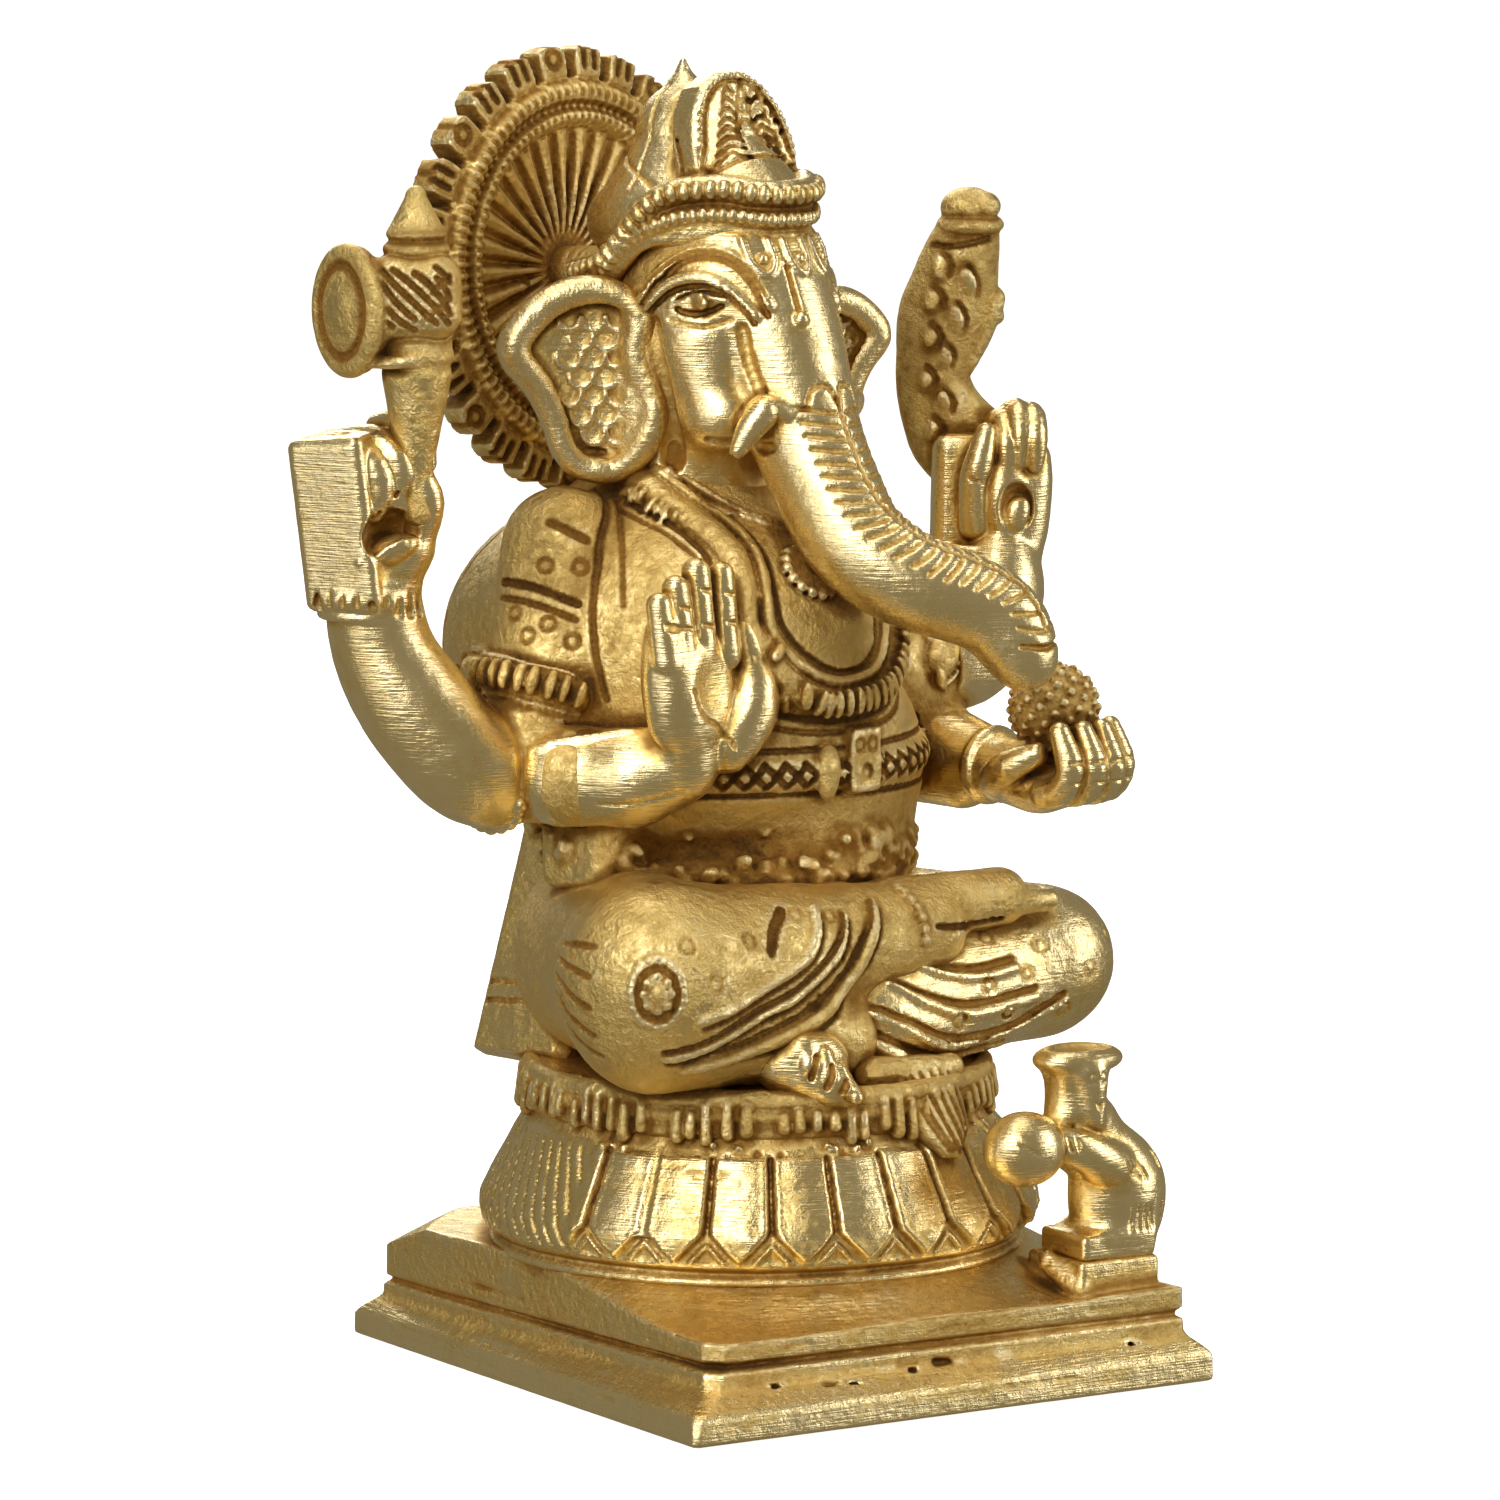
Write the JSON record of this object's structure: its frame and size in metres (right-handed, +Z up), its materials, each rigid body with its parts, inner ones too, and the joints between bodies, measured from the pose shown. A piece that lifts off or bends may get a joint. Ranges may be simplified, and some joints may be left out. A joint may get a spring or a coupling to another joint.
{
  "type": "ganesha idol",
  "caption": "Cast brass idol of a seated four-armed elephant-headed figure with halo, on a lotus seat and stepped plinth, a mouse at one corner; stands free on a shelf.",
  "frame": {"origin": "middle of the plinth's underside, on the central boss", "axes": "+Z up; the plinth's front and the figure's face look towards -Y; the figure's own right hand is on the -X side"},
  "size_m": [0.1178, 0.091, 0.1713],
  "materials": {
    "brass_bright": "hand-polished, faint file marks",
    "brass_figure": "polished high spots over an amber antique patina",
    "brass_dark": "antique patina, engraved, lightly buffed",
    "brass_plinth": "filed flat and buffed, amber in the hollows",
    "brass_plain": "as machined, hidden"
  },
  "bodies": {
    "root": {"plinth": "brass_plinth", "lotus_seat": "brass_figure", "seat_bead_ring": "brass_dark", "seat_spigot": "brass_plain", "back_slab": "brass_figure", "right_leg": "brass_figure", "left_leg": "brass_figure", "left_foot": "brass_bright", "garment_pleat": "brass_figure", "body_spigot": "brass_plain", "torso": "brass_figure", "neck_spigot": "brass_plain", "head": "brass_bright", "right_tusk": "brass_bright", "right_ear": "brass_figure", "left_ear": "brass_figure", "crown": "brass_figure", "halo": "brass_dark", "halo_stud": "brass_plain", "arm_pins": "brass_plain", "front_right_arm": "brass_bright", "front_left_arm": "brass_bright", "modak": "brass_dark", "rear_right_arm": "brass_bright", "axe": "brass_figure", "rear_left_arm": "brass_bright", "goad": "brass_figure", "mouse": "brass_bright", "mouse_sweet": "brass_bright", "mouse_pin": "brass_plain"}
  },
  "joints": []
}
